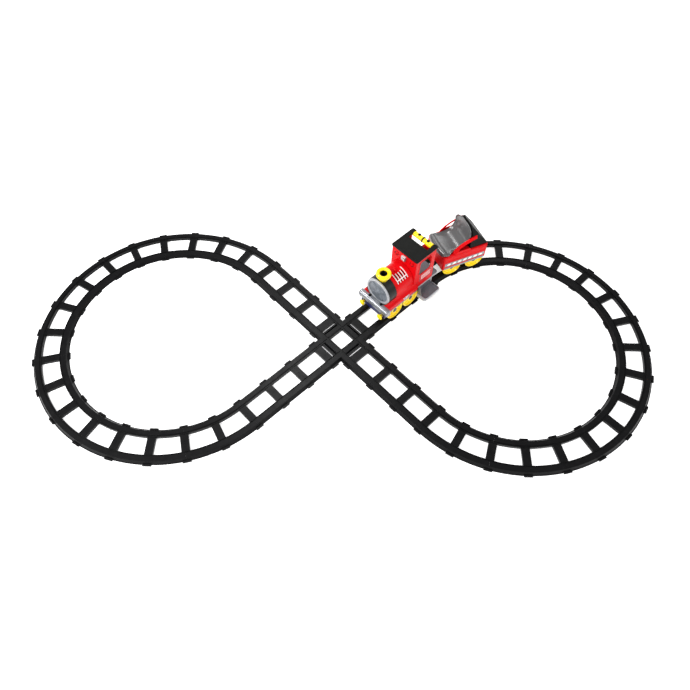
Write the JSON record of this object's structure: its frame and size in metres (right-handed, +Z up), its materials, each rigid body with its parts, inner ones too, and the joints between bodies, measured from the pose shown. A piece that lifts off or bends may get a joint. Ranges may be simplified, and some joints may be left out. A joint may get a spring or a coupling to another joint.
{
  "type": "ride-on battery train with track",
  "caption": "Battery ride-on locomotive with steam-engine cab and funnel, towing a seat tender on a moulded figure-of-eight track.",
  "frame": {"origin": "on the floor under the middle of the track's crossing, which is the middle of the whole footprint", "axes": "+X along the figure of eight's long axis towards the loop that carries the train, +Z up; the locomotive stands on the arm that leaves the crossing at +45 degrees from +X towards +Y and faces the crossing"},
  "size_m": [5.1344, 2.306, 0.577],
  "materials": {
    "track_black": "black moulded track, satin",
    "red": "glossy red",
    "white": "white, satin",
    "chassis_black": "black chassis plastic",
    "dark_grey": "dark grey, satin",
    "silver": "silver-grey, satin gloss",
    "yellow": "glossy yellow",
    "plate_blue": "dark blue, satin",
    "battery_grey": "dark grey battery case",
    "board_green": "circuit board green",
    "roof_black": "near-black, satin",
    "step_grey": "blue-grey, satin",
    "steel": "bright steel",
    "hub_dark": "dark grey hub caps",
    "gear_white": "natural gear plastic",
    "seat_grey": "grey, glossy"
  },
  "bodies": {
    "track": {"track_crossing": "track_black", "straight_track_right_far": "track_black", "straight_track_right_near": "track_black", "straight_track_left_near": "track_black", "straight_track_left_far": "track_black", "curved_track_right_1": "track_black", "curved_track_right_2": "track_black", "curved_track_right_3": "track_black", "curved_track_left_1": "track_black", "curved_track_left_2": "track_black", "curved_track_left_3": "track_black"},
    "locomotive": {"boiler_shell": "red", "speaker_grille": "white", "speaker": "chassis_black", "smokebox_ring": "dark_grey", "smokebox_door": "silver", "funnel": "yellow", "bumper_beam": "silver", "buffers": "yellow", "front_coupling_plate": "plate_blue", "loco_chassis": "chassis_black", "battery": "battery_grey", "sound_board": "board_green", "cab": "red", "whistle_housing": "silver", "cab_roof": "roof_black", "handle_bar": "red", "handle_grips": "yellow", "grip_divider": "roof_black", "switch_box": "red", "footplate": "step_grey", "body_screws": "steel", "motor": "steel", "gearbox_frame": "chassis_black"},
    "front_wheelset": {"front_wheels": "yellow", "front_axle": "steel", "front_hub_caps": "hub_dark"},
    "rear_wheelset": {"rear_wheels": "yellow", "rear_axle": "steel", "rear_hub_caps": "hub_dark", "axle_gear": "gear_white"},
    "reduction": {"reduction_gear": "gear_white"},
    "motor_rotor": {"motor_pinion": "gear_white"},
    "sound_button": {"sound_button": "red"},
    "accelerator_button": {"accelerator_button": "roof_black"},
    "whistle_button": {"whistle_button": "roof_black"},
    "tender": {"tender_body": "red", "tender_chassis": "chassis_black", "tow_bar": "chassis_black", "seat": "seat_grey", "armrests": "red", "rear_cover": "roof_black", "seat_screws": "steel"},
    "tender_front_wheelset": {"tender_front_wheels": "yellow", "tender_front_axle": "steel", "tender_front_hub_caps": "hub_dark"},
    "tender_rear_wheelset": {"tender_rear_wheels": "yellow", "tender_rear_axle": "steel", "tender_rear_hub_caps": "hub_dark"}
  },
  "joints": [
    {"name": "loco_travel", "type": "slide", "parent": "track", "child": "locomotive", "axis": [-0.7071, -0.7071, 0], "range_m": [-0.24, 0.12]},
    {"name": "tender_travel", "type": "hinge", "parent": "track", "child": "tender", "pos_m": [1.41421, 0, 0], "axis": [0, 0, 1], "range_deg": [-14, 7]},
    {"name": "front_wheels_spin", "type": "hinge", "parent": "locomotive", "child": "front_wheelset", "pos_m": [0.34295, 0.34295, 0.1183], "axis": [0.7071, -0.7071, 0], "continuous": true},
    {"name": "rear_wheels_spin", "type": "hinge", "parent": "locomotive", "child": "rear_wheelset", "pos_m": [0.4773, 0.4773, 0.1183], "axis": [0.7071, -0.7071, 0], "continuous": true},
    {"name": "reduction_spin", "type": "hinge", "parent": "locomotive", "child": "reduction", "pos_m": [0.44696, 0.44696, 0.1543], "axis": [0.7071, -0.7071, 0], "continuous": true},
    {"name": "motor_spin", "type": "hinge", "parent": "locomotive", "child": "motor_rotor", "pos_m": [0.41514, 0.41514, 0.1543], "axis": [0.7071, -0.7071, 0], "continuous": true},
    {"name": "tender_front_wheels_spin", "type": "hinge", "parent": "tender", "child": "tender_front_wheelset", "pos_m": [0.88928, 0.85115, 0.1183], "axis": [0.4263, -0.9046, 0], "continuous": true},
    {"name": "tender_rear_wheels_spin", "type": "hinge", "parent": "tender", "child": "tender_rear_wheelset", "pos_m": [1.09191, 0.94664, 0.1183], "axis": [0.4263, -0.9046, 0], "continuous": true},
    {"name": "accelerator_button_press", "type": "slide", "parent": "locomotive", "child": "accelerator_button", "axis": [0, 0, -1], "range_m": [0, 0.003], "stiffness_N_per_m": 300, "springref_m": -0.002},
    {"name": "whistle_button_press", "type": "slide", "parent": "locomotive", "child": "whistle_button", "axis": [0, 0, -1], "range_m": [0, 0.003], "stiffness_N_per_m": 300, "springref_m": -0.002},
    {"name": "sound_button_press", "type": "slide", "parent": "locomotive", "child": "sound_button", "axis": [0, 0, -1], "range_m": [0, 0.003], "stiffness_N_per_m": 300, "springref_m": -0.002}
  ],
  "couplings": [
    {"joint": "tender_travel", "follows": "loco_travel", "rad_per_m": 1},
    {"joint": "front_wheels_spin", "follows": "loco_travel", "rad_per_m": 11.364},
    {"joint": "rear_wheels_spin", "follows": "loco_travel", "rad_per_m": 11.364},
    {"joint": "reduction_spin", "follows": "loco_travel", "rad_per_m": -34.091},
    {"joint": "motor_spin", "follows": "loco_travel", "rad_per_m": 136.36},
    {"joint": "tender_front_wheels_spin", "follows": "loco_travel", "rad_per_m": 11.364},
    {"joint": "tender_rear_wheels_spin", "follows": "loco_travel", "rad_per_m": 11.364}
  ]
}
